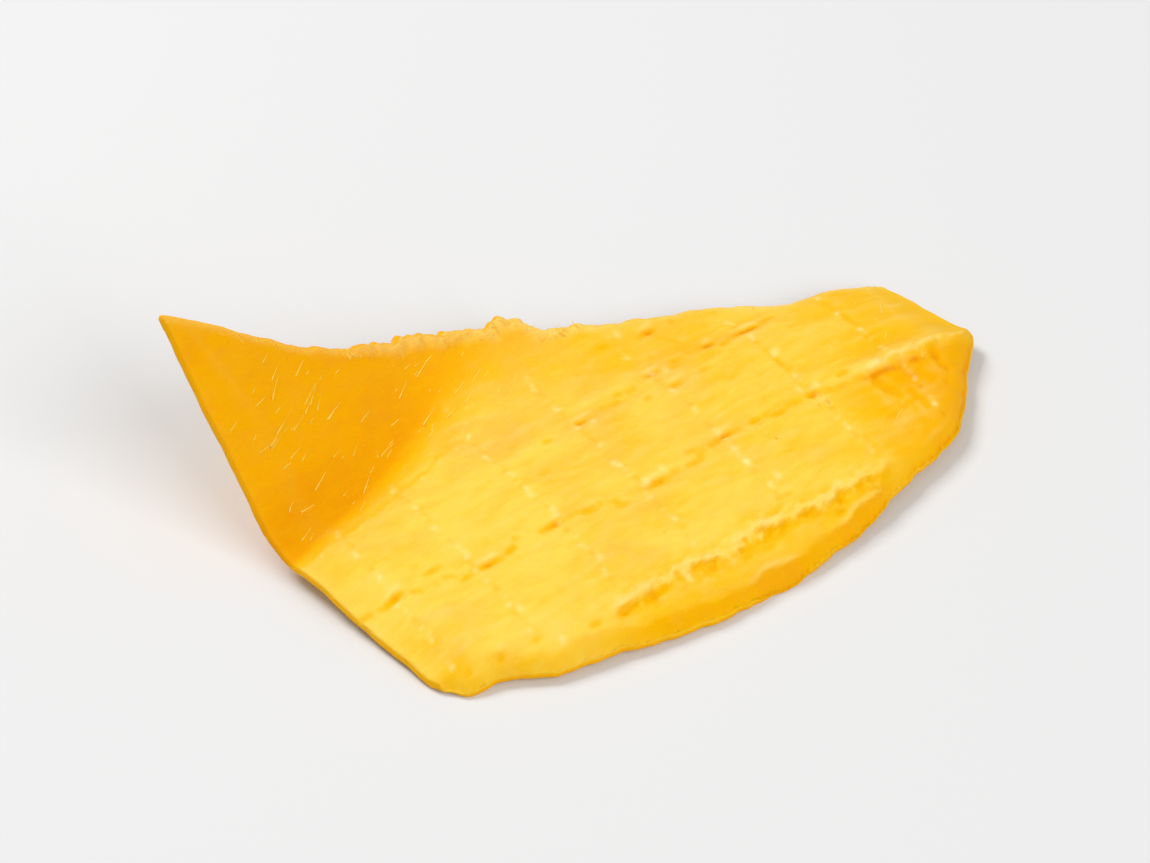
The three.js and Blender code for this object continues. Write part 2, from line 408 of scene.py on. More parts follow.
# %% How much each edge takes off
CUT_THICKNESS, CUT_TAPER = 1.1, 5
STONE_THICKNESS, STONE_TAPER = 1.4, (-2, 9)
BAND_DROP, BAND_WIDTH = 0.5, 4.2
ROLL_DROP, ROLL_WIDTH, ROLL_CURVE, ROLL_CUT_AWAY = 1.7, 2.4, 0.96, 0.7
WALL_DROP, WALL_REACH, LEAST_REACH = 1.6, 1.4, 0.3
PEELER_FLATS = [(13.8, 5.4, 1.0), (24.8, 6.4, 0.85), (37.0, 7.0, 0.4)]  # u, reach, how flat
SOFT = 0.35
UNDER_DROP, UNDER_WIDTH = 0.3, 1.2
RIM_LEFT = 0.4

by_cut = mix(CUT_THICKNESS, THICKNESS, ease(to_cut, 0, CUT_TAPER))
by_stone = mix(STONE_THICKNESS, THICKNESS, ease(to_edge["stone"], *STONE_TAPER))
by_cuts = (THICKNESS - np.minimum(by_cut, by_stone)) / 2

from_rim = to_edge["margin"]
flats = sum(share * hump(u - place, reach) for place, reach, share in PEELER_FLATS)
wall_reach = mix(LEAST_REACH, WALL_REACH, flats)
down_wall = np.clip(1 - from_rim / wall_reach, 0, 1)
down_wall = np.where(down_wall < SOFT, down_wall**2 / (2 * SOFT), down_wall - SOFT / 2)
wall = WALL_DROP * flats * down_wall / (1 - SOFT / 2)
round_rim = 1 - np.sqrt(1 - ROLL_CURVE * np.clip(1 - from_rim / ROLL_WIDTH, 0, 1) ** 2)
roll = ROLL_DROP * (1 - ROLL_CUT_AWAY * flats) * round_rim
band = BAND_DROP * (1 - ease(from_rim, 0, BAND_WIDTH))
print("deepest wall in mm:", round(float(wall.max()), 2))

# %% Push the faces together
from_above = np.maximum(band + roll + wall, by_cuts)
from_below = np.maximum(UNDER_DROP * (1 - ease(from_rim, 0, UNDER_WIDTH)), by_cuts)
too_much = np.maximum(from_above + from_below - (THICKNESS - RIM_LEFT), 0)
from_below -= np.minimum(too_much, from_below)
from_above = np.minimum(from_above, THICKNESS - RIM_LEFT - from_below)
push(mango, "thin from above", from_above / THICKNESS * share_up, -THICKNESS)
push(mango, "thin from below", from_below / THICKNESS * (1 - share_up), THICKNESS)
print("thinnest edge in mm:", round(float((THICKNESS - from_above - from_below).min()), 2))

# %% [markdown]
# ## The grain of the flesh
#
# The flesh is full of fibres that run from stem to tip, and as it dries it sinks between
# them. That makes long low ridges, short puckers between them, and a fine leathery
# unevenness over both. A cloud texture gives them all: it is read through a UV map that is
# squeezed along the fibres, a lot or a little, so its round blobs come out as streaks. The
# underside lay on the rack and is coarser, and the corner that curls later stays smoother.

# %% Three maps of the fibres
MAP_UNIT = 10
UNDERSIDE_SHIFT = 37


def fibre_map(name, squeeze):
    """A UV map of the flat slice, squeezed along the fibres."""
    layer = mango.data.uv_layers.new(name=name)
    corners = np.zeros(len(mango.data.loops), np.int32)
    mango.data.loops.foreach_get("vertex_index", corners)
    across = v + np.where(up < 0, UNDERSIDE_SHIFT, 0)
    laid_out = np.stack([u * squeeze, across], axis=1) / MAP_UNIT
    layer.data.foreach_set("uv", laid_out[corners].ravel().astype(np.float32))
    return {"texture_coords": "UV", "uv_layer": name, "mid_level": 0.5}


def clouds(name, size):
    """A cloud texture with blobs of about this size in mm, before the squeeze."""
    texture = bpy.data.textures.new(name, "CLOUDS")
    texture.noise_scale = 2 * size / MAP_UNIT
    return texture


long_map = fibre_map("fibres", squeeze=0.12)
short_map = fibre_map("puckers", squeeze=0.4)
round_map = fibre_map("lumps", squeeze=1.0)
print("maps of the slice:", [layer.name for layer in mango.data.uv_layers])

# %% Where the curled corner begins
CREASE_U = [-25, -15, -10, -5, 0, 5, 12, 20]
CREASE_V = [1.0, 2.5, 3.8, 5.5, 7.0, 7.5, 6.0, 4.0]
SOFTENS_U = [-25, -5, 5, 15]
SOFTENS_OVER = [1.5, 5.0, 9.0, 13.0]

crease_v = np.interp(u, CREASE_U, CREASE_V)
on_flap = ease(v - crease_v, 0, np.interp(u, SOFTENS_U, SOFTENS_OVER))
print("share of the slice in the corner:", share_of(on_flap > 0.5))

# %% Ridges, puckers and fibres
LEFT_AT_EDGE, CALM_EDGE = 0.2, 2.5
LOST_ON_CORNER = 0.75
TORN_WIDTH = (0.5, 2.5)

inner = mix(LEFT_AT_EDGE, 1, ease(np.minimum(from_rim, to_cut), 0, CALM_EDGE))
ribbed = on_top * (1 - LOST_ON_CORNER * on_flap)
torn = frayed(u) * (1 - ease(to_edge["stone"], *TORN_WIDTH))
for name, where, size, height, layer in [
    ("long ridges", ribbed * inner, 2.6, 0.17, long_map),
    ("puckers", ribbed * inner, 1.4, 0.25, short_map),
    ("fine fibres", ribbed * inner, 0.8, 0.08, short_map),
    ("torn lumps", torn, 0.9, 0.7, round_map),
    ("rack side ridges", below * inner, 2.2, 0.5, long_map),
    ("rack side fibres", below * inner, 0.6, 0.2, long_map),
]:
    push(mango, name, where, height, texture=clouds(name, size), **layer)

# %% [markdown]
# ## The ridge and the step
#
# Near the tip the flesh folded into a low ridge along the fibres. Just inside the margin
# the face ends in a wavy lip, steps down, and runs out as a golden band to the rim, where
# the peeler took more. Both are formulas of u and v: how strong the form is along its line,
# times its profile across the line.

# %% Broad relief of the top face
RIDGE = {"v": -9.6, "start": 28, "end": 40, "height": 0.75, "width": 3.6}
STEP = {"v": -20.9, "start": -2, "end": 30, "drop": 0.3, "lip": 0.16, "width": 0.9, "pitch": 7.4}
STEP_ENDS = 3
STEP_EDGE, STEP_FOOT = (-0.2, 0.5), (1.2, 2.6)
RAGGED_WIDTH, RAGGED_HEIGHT, LUMPS_HEIGHT = 2.6, 0.55, 0.4

rise = ease(u, RIDGE["start"], RIDGE["end"]) * hump(v - RIDGE["v"], RIDGE["width"])
push(mango, "ridge", rise, RIDGE["height"])


def step_line(u):
    """v of the wavy lip at u."""
    beat = 2 * math.pi * u / STEP["pitch"]
    return STEP["v"] + 0.4 * wander(beat / 1.8) + 0.22 * wander(2.9 * u, 1)


beyond = step_line(u) - v
comes, goes = [(STEP[end] - STEP_ENDS, STEP[end] + STEP_ENDS) for end in ("start", "end")]
present = within(u, comes, goes)
strength = present * (0.65 + 0.35 * wander(0.8 * u, 2))
lip_line = strength * hump(beyond + 0.5, STEP["width"])
push(mango, "step", strength * within(beyond, STEP_EDGE, STEP_FOOT) * on_top, -STEP["drop"])
push(mango, "lip", lip_line * on_top, STEP["lip"])
ragged = present * hump(beyond - 0.2, RAGGED_WIDTH) * on_top
push(mango, "ragged lip", ragged, RAGGED_HEIGHT, texture=clouds("ragged lip", 0.7), **short_map)
push(mango, "lip lumps", ragged, LUMPS_HEIGHT, texture=clouds("lip lumps", 1.1), **round_map)
print("the lip runs from u", STEP["start"], "to", STEP["end"])

# %% [markdown]
# ## Slits, lips and score lines
#
# Where a thick fibre ends the surface has opened into a short slit with a raised lip, with a
# smaller nick before and behind it, and every centimetre or so a faint line crosses the
# fibres. These are small, so they are made like a stroke with a sculpting tool: the points
# under the stroke are picked and moved, and proportional editing carries the surface near
# them along. The lumps and wrinkles that no formula gives are strokes too.

# %% A stroke on the top face
STROKE_STEP = 0.25
top_points = np.flatnonzero(up > 0.4 * THICKNESS)
top_tree = tree_of([(u[index], v[index], 0) for index in top_points])


def stroke(line, reach, height):
    """Raises or presses the top face along a line of (u, v) places, all in mm."""
    everything("DESELECT")
    shape = bmesh.from_edit_mesh(mango.data)
    shape.verts.ensure_lookup_table()
    for (u0, v0), (u1, v1) in zip(line, line[1:]):
        steps = max(1, round(math.hypot(u1 - u0, v1 - v0) / STROKE_STEP))
        for step in range(steps + 1):
            share = step / steps
            found = top_tree.find((mix(u0, u1, share), mix(v0, v1, share), 0))
            shape.verts[top_points[found[1]]].select_set(True)
    pull((0, 0, height * MM), reach * MM)


# %% The slits
SLITS = [  # u, v, length and depth
    (30.0, 2.8, 5.0, 0.42),
    (25.5, 3.3, 1.6, 0.25),
    (18.5, 3.0, 2.6, 0.35),
    (19.3, 0.0, 2.0, 0.2),
    (9.3, 1.5, 3.4, 0.25),
    (22.2, 8.8, 2.4, 0.25),
    (29.2, -9.4, 1.6, 0.45),
    (18.4, -9.0, 3.6, 0.38),
    (10.0, -10.2, 3.0, 0.35),
    (-1.6, -9.2, 2.4, 0.3),
    (-9.8, -10.0, 3.0, 0.3),
    (-19.2, -7.5, 2.6, 0.35),
    (-2.2, -21.6, 1.8, 0.5),
    (-14.8, -19.2, 1.4, 0.2),
    (36.0, -10.8, 3.0, 0.14),
]
SLIT_PASSES = [(0.9, 0.35), (0.55, 0.35), (0.25, 0.3)]  # share of the length, part of the depth
SLIT_WIDTH, LIP_HEIGHT = 0.6, 0.06
draw = random.Random(11)
nicks = []

only(mango, "EDIT")
for slit_u, slit_v, length, depth in SLITS:
    half = length / 2
    slant = draw.uniform(-0.25, 0.25)
    for share, part in SLIT_PASSES:
        run = share * half - 0.2
        middle = slit_u + draw.uniform(-0.15, 0.15) * half
        ends = [(middle - run, slit_v - slant * share), (middle + run, slit_v + slant * share)]
        stroke(ends, draw.uniform(0.7, 1.2) * SLIT_WIDTH, -0.75 * depth * part)
    lip = slit_v + draw.choice((-1.2, 1.2)) * SLIT_WIDTH
    ends = [(slit_u - 0.5 * half, lip - 0.5 * slant), (slit_u + 0.6 * half, lip + slant)]
    stroke(ends, 1.2 * SLIT_WIDTH, draw.uniform(0.5, 1.2) * LIP_HEIGHT)
    for away in (draw.uniform(-5, -2.5), draw.uniform(2.5, 5)):
        nick_u, nick_v = slit_u + away, slit_v + draw.uniform(-0.7, 0.7)
        run = draw.uniform(0.3, 0.9)
        stroke([(nick_u - run, nick_v), (nick_u + run, nick_v)], SLIT_WIDTH, -0.35 * depth)
        nicks.append((nick_u, nick_v, run))
print("slits:", len(SLITS), "and nicks:", len(nicks))

# %% The score lines
SCORES = [-19, -11, -1, 8.3, 18.5, 29.5, 39]
SCORE_REACH = 0.5

for score_u in SCORES:
    place = -19.0
    while place < np.interp(score_u, CREASE_U, CREASE_V):
        length = draw.uniform(1.0, 4.0)
        drift = draw.uniform(-0.4, 0.4)
        line = [(score_u + drift, place), (score_u + drift + draw.uniform(-0.3, 0.3), place + length)]
        stroke(line, SCORE_REACH, draw.uniform(-0.08, 0.03))
        place += length + draw.uniform(0.3, 3.0)
print("score lines:", len(SCORES))

# %% Lumps along the ridge and the lip
LIP_LUMPS, WRINKLES, SMALL_LUMPS = 34, 14, 70
WRINKLE_REACH = 0.8
RIDGE_LUMPS = [(36.5, -9.4), (39.2, -9.7), (41.2, -9.3), (43.2, -9.8), (45.3, -9.4), (47.0, -9.6)]
for lump_u, lump_v in RIDGE_LUMPS:
    line = [(lump_u - 0.5, lump_v - 0.1), (lump_u + 0.5, lump_v + 0.1)]
    stroke(line, draw.uniform(0.6, 0.9), draw.uniform(0.2, 0.35))
for _ in range(LIP_LUMPS):
    lump_u = draw.uniform(-1, 31)
    lump_v = step_line(lump_u) + draw.uniform(-0.4, 1.2)
    half, slope = draw.uniform(0.2, 1.2), draw.uniform(-0.5, 0.5)
    line = [(lump_u - half, lump_v - slope), (lump_u + half, lump_v + slope)]
    stroke(line, draw.uniform(0.45, 0.7), draw.uniform(-0.1, 0.16))
for _ in range(WRINKLES):
    wrinkle_u, wrinkle_v = draw.uniform(33, 46), draw.uniform(-16, -10)
    end_u, end_v = wrinkle_u + draw.uniform(-0.5, 1.5), wrinkle_v - draw.uniform(2, 4)
    stroke([(wrinkle_u, wrinkle_v), (end_u, end_v)], WRINKLE_REACH, draw.uniform(-0.18, 0.1))
for _ in range(SMALL_LUMPS):
    lump_u, lump_v = draw.uniform(-20, 46), draw.uniform(-21, 8)
    half = draw.uniform(0.3, 1.5)
    line = [(lump_u - half, lump_v - 0.1), (lump_u + half, lump_v + 0.1)]
    stroke(line, draw.uniform(0.5, 0.8), draw.uniform(-0.1, 0.06))
only(mango)

# %% [markdown]
# ## Hollows and crests
#
# A hollow is painted deeper in colour, as painted shade, and a crest pale, partly as dry
# flesh and partly as a painted highlight. To tell them apart, the height of each point is
# compared with the average height around it: every point takes the average of its
# neighbours a number of times.

# %% Compare each point with its surroundings
AVERAGING_PASSES = 25
FULL_RELIEF = 0.12
LEVEL_CORNER = 0.85
CRESTS_FROM_RIM = (1.5, 3.5)


def averaged(values, passes):
    """The values after each point has taken the average of itself and its neighbours."""
    ends = np.zeros(len(mango.data.edges) * 2, np.int32)
    mango.data.edges.foreach_get("vertices", ends)
    one, other = ends.reshape(-1, 2).T
    size = len(values)
    neighbours = np.bincount(one, minlength=size) + np.bincount(other, minlength=size)
    for _ in range(passes):
        total = np.bincount(one, values[other], size) + np.bincount(other, values[one], size)
        values = (values + total) / (1 + neighbours)
    return values


height_now = places_of(mango)[:, 2]
outwards = np.where(up < 0, -1, 1)
on_faces = np.maximum(on_top, below) * (1 - LEVEL_CORNER * on_flap)
relief = outwards * (height_now - averaged(height_now, AVERAGING_PASSES)) / FULL_RELIEF * on_faces
hollow = np.clip(-relief, 0, 1)
crest = np.clip(relief, 0, 1) * ease(from_rim, *CRESTS_FROM_RIM)
print("hollows and crests:", share_of(hollow > 0.3), share_of(crest > 0.3))

# %% [markdown]
# ## Where the colour changes
#
# The flesh is light yellow on the flat part and amber on the curled corner, partly its own
# deeper colour and partly painted shade and painted light shining through it. It is golden
# along the margin and in the slits, partly as painted shade, pale where it puckered or tore,
# and peach in the upper part. Three attributes, amber, pale and peach, are painted for this,
# and the material reads them later.
#
# The slits come first. Each is a soft spot of amber, partly painted shade in the slit, and
# between the slits of one row the fibre that they lie on shows as a broken trail.

# %% Amber in the slits
SLIT_SPREAD, NICK_SPREAD, NICK_STRENGTH = 0.45, 0.4, 0.55
UPPER_ROW_ABOVE, LOWER_ROW = 1, (-12, -7)
TRAIL_WIDTH, TRAIL_END = 0.8, 6


def spot(at_u, at_v, reach_u, reach_v):
    """A soft round or long spot, 1 at its middle."""
    return np.exp(-(((u - at_u) / reach_u) ** 2) - ((v - at_v) / reach_v) ** 2)


def trail(row):
    """A broken line through the slits of one row, where the fibre between them shows."""
    at_u, at_v = zip(*sorted((slit[0], slit[1]) for slit in row))
    line = np.interp(u, at_u, at_v) + 0.3 * wander(0.8 * u)
    along_row = within(u, (at_u[0] - TRAIL_END, at_u[0]), (at_u[-1], at_u[-1] + TRAIL_END))
    return hump(v - line, TRAIL_WIDTH) * np.clip(0.4 + wander(1.7 * u), 0, 1) * along_row


# The amber of the slits is partly painted shade in the slit.
tint = sum(spot(a, b, SLIT_SPREAD * length, SLIT_SPREAD) for a, b, length, depth in SLITS)
tint += NICK_STRENGTH * sum(spot(a, b, 0.9 * run, NICK_SPREAD) for a, b, run in nicks)
upper_row = [slit for slit in SLITS if slit[1] > UPPER_ROW_ABOVE]
lower_row = [slit for slit in SLITS if LOWER_ROW[0] < slit[1] < LOWER_ROW[1]]
trails = trail(upper_row) + trail(lower_row)
print("slits in the two rows:", len(upper_row), "and", len(lower_row))

# %% [markdown]
# A score line is thin and sways a little, in turns amber and pale. Below the lip runs a line
# of painted shade, where the lip overhangs, and the flesh is deeper in colour towards the
# tip. A few patches and dark lines are put where the real slice has them; the one before the
# ridge is a painted shadow. Past the corner, below the ridge, the face gets painted shade,
# as it turns away from the light.

# %% Amber lines and patches
SCORE_WIDTH, SCORE_BEGINS, SCORE_ENDS = 0.3, (-20, -17), (10, 13)
LIP_SHADE_WIDTH, TOWARDS_TIP, AT_TIP = 0.7, (18, 27), (31, 43)
BY_TIP_U, BY_TIP_V = (29, 33), (9.8, 11)
PATCHES = [  # u, v, reach along and across the fibres, strength
    (17, 7.5, 10, 4, 0.3),
    (23, 4, 4, 2, 0.3),
    (-17.5, -21.5, 2, 1.2, 0.3),
    (-18.7, -17.5, 2, 1.2, 0.35),
    (29.3, -3.8, 0.3, 2.2, 0.4),
    (39.2, -1, 0.3, 2, 0.4),
    # a painted shadow before the ridge
    (38.5, -8.2, 2.5, 0.5, 0.4),
]

scored = np.zeros(len(u))
for number, score_u in enumerate(SCORES):
    sway = 0.35 * wander(0.9 * v, number)
    line = spot(score_u + sway, v, SCORE_WIDTH, 1) * within(v, SCORE_BEGINS, SCORE_ENDS)
    scored += line * wander(1.6 * v, 3 * number) * (1 - on_flap)

# Painted shade in the undercut below the lip.
lip_undercut_shade = strength * hump(beyond - 0.5, LIP_SHADE_WIDTH) * np.clip(0.6 + wander(2.1 * u, 3), 0, 1)
at_tip = 0.12 * ease(u, *TOWARDS_TIP) + 0.35 * ease(u, *AT_TIP)
patches = at_tip + sum(strong * spot(*place) for *place, strong in PATCHES)
# Painted shade on the face below the ridge, past the corner, where it turns away from the light.
shade_below_ridge = ease(u, *BY_TIP_U) * ease(-v, *BY_TIP_V)
print("amber on score lines:", share_of(scored > 0.3))

# %% [markdown]
# The steep sides are amber too: the rim, the walls that the peeler left, and the slopes of
# the step. This is partly the deeper colour of the thin flesh and partly painted shade, as
# these sides turn away from the light. A point's normal says how steep it is, and the lower
# half, which faces down, is painted a little deeper still, as more shade.

# %% Amber on the steep sides
RIM_STEEPNESS, SLOPE_STEEPNESS = (0.35, 0.8), (0.03, 0.2)
WALL_FOOT, WALL_TOP, ABOVE_UNDERSIDE = 0.75, 1.05, (0.1, 0.3)
RIM_STRENGTH, SHADE_BELOW = 0.95, 0.35

normals = np.zeros(len(u) * 3)
mango.data.vertices.foreach_get("normal", normals)
slope = 1 - np.abs(normals.reshape(-1, 3)[:, 2])
on_wall = ease(flats, 0, 0.5) * (1 - ease(from_rim, WALL_FOOT * wall_reach, WALL_TOP * wall_reach))
on_wall *= ease(share_up, *ABOVE_UNDERSIDE)
shaded_slope = (0.3 + 0.6 * present) * ease(slope, *SLOPE_STEEPNESS) * on_top
side = np.maximum(np.maximum(RIM_STRENGTH * ease(slope, *RIM_STEEPNESS), shaded_slope), on_wall)
# The lower half of each side is painted darker, as shade.
side *= 1 + SHADE_BELOW * ease(0.5 - share_up, 0, 0.4)
print("steep sides:", share_of(side > 0.5), "of the skin")

# %% All the amber together
CORNER_FADES, CREASE_FADES, CREASE_WIDTH = (-4, 22), (2, 12), 0.6
MOST_AMBER, UNDERSIDE_AMBER = 1.3, 0.5

# On the curled corner the amber is partly the corner's own colour and partly painted shade and painted
# light shining through it.
corner_tone_and_shade = on_flap * (1 - 0.75 * ease(u, *CORNER_FADES))
# Painted shade in the crease of the curled corner, deepest along the fold.
crease_shade = 0.15 * on_flap * (1 - ease(v - crease_v, *CREASE_FADES))
fold_shade = hump(v - crease_v - 0.4 - 0.3 * wander(1.1 * u), CREASE_WIDTH)
crease_shade += 0.3 * fold_shade * ease(-u, -2, 8)
in_band = 0.35 * present * ease(beyond, 0, 0.6)
amber = np.maximum(corner_tone_and_shade + crease_shade, 0.5 * shade_below_ridge) + in_band + 0.55 * lip_undercut_shade * on_top
# Hollows get painted shade here.
amber += (0.75 * np.clip(tint, 0, 1) + 0.42 * trails + patches) * on_top + 0.25 * hollow
amber = np.clip(amber + 0.35 * np.clip(scored, 0, 1) * on_top, 0, MOST_AMBER)
amber = np.maximum(amber, side)
amber = np.where(up < 0, np.maximum(amber, UNDERSIDE_AMBER), amber)
keep(mango, "amber", amber)
print("amber covers", share_of(amber > 0.5), "of the skin")

# %% [markdown]
# Pale marks are dry fibre ends: the lips of the slits and the fuzz of the torn edge. Painted
# highlights are pale as well: the crest of the ridge, the lip, the crease, the top of the
# peeler's walls, two spots beside the pit by the ridge, and in part every crest. The
# brightest flecks mostly lie where a score line crosses a thick fibre. All of them fade on
# steep slopes.

# %% Pale where it is dry, and painted highlights
PALE_FLECKS = [  # u and v
    (-10.8, -7.5), (-10.4, -16.0), (-9.0, -21.0), (-0.6, -7.4), (-1.0, -3.5),
    (-0.5, -15.0), (5.4, -21.5), (8.0, -5.5), (9.0, -9.4), (10.0, 1.0),
    (11.3, -8.9), (18.5, -10.8), (18.5, -13.2), (20.0, -16.0), (20.0, 2.6),
    # the two beside the pit at u 29 are painted highlights on its rim
    (19.5, 10.2), (28.5, -8.0), (30.3, -8.4), (30.0, -2.0),
]
FLECK_U, FLECK_V = 0.36, 0.5
THIN_LINE = 0.5

lips = sum(spot(a + 0.4, b + 0.9, 0.35 * length, 0.35) for a, b, length, depth in SLITS)
flecks = sum(spot(a, b, FLECK_U, FLECK_V) for a, b in PALE_FLECKS)
fray = frayed(u)
fuzz = (1 - ease(to_edge["stone"], 0.2, 0.8 + 0.8 * fray)) * (0.5 + 0.5 * fray)
# Painted highlights: along the crest of the ridge, on the top of the peeler's walls, along the crease,
# and through lip_line along the lip.
ridge_highlight = ease(u, 33, 37) * hump(v - RIDGE["v"] - 0.3 * wander(1.5 * u), THIN_LINE)
wall_top_highlight = flats * hump(from_rim - wall_reach - 0.1, THIN_LINE) * (up > 0)
crease_highlight = hump(v - crease_v + 0.2 * wander(1.1 * u), THIN_LINE) * ease(-u, -4, 6)
crease_highlight *= np.clip(wander(2.3 * u, 1), 0, 1)
marks = 0.3 * lips + 0.6 * flecks + 0.4 * ridge_highlight + 0.2 * lip_line + 0.35 * crease_highlight
marks += 0.8 * np.clip(-scored, 0, 1)
# Crests are pale partly as a painted highlight.
pale = marks * on_top + 0.35 * wall_top_highlight + 0.25 * crest
pale = pale * (1 - ease(slope, 0.05, 0.25)) + 0.35 * fuzz * (1 - 0.8 * ease(slope, 0.1, 0.5))
keep(mango, "pale", np.clip(pale, 0, 1))
print("pale covers", share_of(pale > 0.3), "of the skin")

# %% Peach in the upper part and round the slits
PEACH_V, PEACH_BEGINS, PEACH_ENDS = (-3, 5), (-14, 0), (28, 40)

near_slits = sum(spot(a + 0.2, b, 0.7 * length, 1) for a, b, length, depth in SLITS)
upper_part = ease(v, *PEACH_V) * within(u, PEACH_BEGINS, PEACH_ENDS)
peach = 0.5 * upper_part + 0.5 * np.clip(near_slits, 0, 1)
peach += 0.6 * np.clip(scored, 0, 1) + 0.4 * lip_line
keep(mango, "peach", np.clip(peach, 0, 1) * on_top)
print("peach covers", share_of(peach * on_top > 0.3), "of the skin")

# %% [markdown]
# ## Warping
#
# While it dried the slice arched across its fibres, drooped towards the tip, and its low
# stem corner sank. These are pushes of the whole thickness, so they are painted over both
# faces at once.

# %% Arch, droops and waves
ARCH = {"crest": -8, "flat_above": 6, "fall": 0.0075}
TIP_DROOP = {"start": 26, "fall": 0.0042}
STEM_DROOP = {"start": -6, "fall": 0.0085, "above": 2, "reach": 14}
WAVES = 0.25
DEEPEST = 4.0

arch = ARCH["fall"] * (np.minimum(v, ARCH["flat_above"]) - ARCH["crest"]) ** 2
tip_droop = TIP_DROOP["fall"] * np.maximum(0, u - TIP_DROOP["start"]) ** 2
in_corner = ease(STEM_DROOP["above"] - v, 0, STEM_DROOP["reach"])
stem_droop = STEM_DROOP["fall"] * np.maximum(0, STEM_DROOP["start"] - u) ** 2 * in_corner
waves = WAVES * (1 + wander(0.13 * u + 0.05 * v, 4)) / 2
push(mango, "arch", arch / DEEPEST, -DEEPEST)
push(mango, "tip droop", tip_droop / DEEPEST, -DEEPEST)
push(mango, "stem droop", stem_droop / DEEPEST, -DEEPEST)
push(mango, "waves", waves / WAVES, 2 * WAVES)
only(mango, "EDIT")
everything()
bpy.ops.transform.translate(value=(0, 0, -WAVES * MM))
only(mango)
print("deepest sag in mm:", round(float((arch + tip_droop + stem_droop).max()), 2))

# %% [markdown]
# ## Loose fibres
#
# Close up, the surface carries fine pale hairs: ends of fibres that the knife tore free.
# They lie slantwise on the curled corner, sparsely over the rest, and as a short fuzz along
# the torn edge. One tapering strand is modelled and bent by four amounts, and copies are
# laid on the surface before the corner is curled, so that each one keeps to the surface.


# %% One strand
STRAND_BENDS = (8, 25, 60, 110)
STRAND_ROOT, STRAND_TIP = 0.05 * MM, 0.012 * MM


def model_strand(bend):
    """A strand 1 mm long along X, 0.1 mm thick at its root and bent by so many degrees."""
    bpy.ops.object.select_all(action="DESELECT")
    bpy.ops.mesh.primitive_cone_add(
        vertices=5, radius1=STRAND_ROOT, radius2=STRAND_TIP, depth=MM, rotation=(0, math.pi / 2, 0)
    )
    strand = bpy.context.object
    bpy.ops.object.transform_apply(location=False, rotation=True, scale=True)
    only(strand, "EDIT")
    everything("DESELECT")
    for edge in bmesh.from_edit_mesh(strand.data).edges:
        edge.select_set(edge.calc_length() > 0.9 * MM)
    bpy.ops.mesh.subdivide(number_cuts=6)
    only(strand)
    finish(strand, "SIMPLE_DEFORM", deform_method="BEND", deform_axis="Z", angle=math.radians(bend))
    shape = strand.data.copy()
    bpy.data.objects.remove(strand)
    return shape


STRANDS = [model_strand(bend) for bend in STRAND_BENDS]
print("points in a strand:", len(STRANDS[0].vertices))

# %% Strands on the surface
FIELDS = [  # u and v ranges, how many, heading against the fibres, spread, lengths
    ((-27, 6), (3, 27), 75, 30, 9, (0.8, 3.2)),
    ((-18, 40), (-16, 12), 16, 52, 16, (0.6, 1.8)),
    ((34, 48), (-12, 4), 10, 50, 10, (0.8, 2.4)),
    ((22, 42), (-20, -10), 6, 42, 14, (0.8, 2.2)),
]
SUNK = 0.03
LEVEL_ENOUGH = 0.95
INLAND = 1.5
UPPER_FIELD = 20

skin = BVHTree.FromObject(mango, bpy.context.evaluated_depsgraph_get())
edge_tree = tree_of([place for points in outline.values() for place in points])


def on_skin(at_u, at_v):
    """The place on the top face at u and v, and its normal, or None off the slice."""
    place, normal, _, _ = skin.ray_cast(Vector((at_u, at_v, 30)) * MM, Vector((0, 0, -1)))
    return (place, normal) if place else None


def laid(place, normal, heading, length, thick, lift=0.0, roll=0.0):
    """The transform that lays a strand on the skin, with its middle at the place."""
    along = Vector((math.cos(heading), math.sin(heading), 0))
    along = (along - along.dot(normal) * normal).normalized()
    along = (along * math.cos(lift) + normal * math.sin(lift)).normalized()
    side = normal.cross(along).normalized()
    axes = Matrix((along * length, side * thick, along.cross(side) * thick)).transposed().to_4x4()
    return Matrix.Translation(place) @ axes @ Matrix.Rotation(roll, 4, "X")


hairs = []
for (u0, u1), (v0, v1), count, heading, spread, lengths in FIELDS:
    laid_down = 0
    while laid_down < count:
        at_u, at_v = draw.uniform(u0, u1), draw.uniform(v0, v1)
        found = on_skin(at_u, at_v)
        inland = edge_tree.find((at_u * MM, at_v * MM, 0))[2] > INLAND * MM
        beyond_crease = at_v > np.interp(at_u, CREASE_U, CREASE_V)
        if not found or not inland or (v1 > UPPER_FIELD and not beyond_crease):
            continue
        place, normal = found
        if normal.z < LEVEL_ENOUGH:
            continue
        way = math.radians(draw.gauss(heading, spread))
        length = draw.uniform(*lengths)
        place = place - SUNK * MM * normal
        flat_bend = draw.choice((-1, 1)) * math.pi / 2
        kind = draw.choice((0, 0, 1))
        thick = draw.uniform(1.1, 1.9)
        hairs.append((kind, laid(place, normal, way, length, thick, roll=flat_bend)))
        laid_down += 1
print("hairs on the surface:", len(hairs))

# %% Fuzz along the torn edge
FUZZ_TRIES = 340
FRAYED_PART = (-10, 18)
LEFT_OUT_ELSEWHERE = 0.6
COARSE_SHARE = 0.2

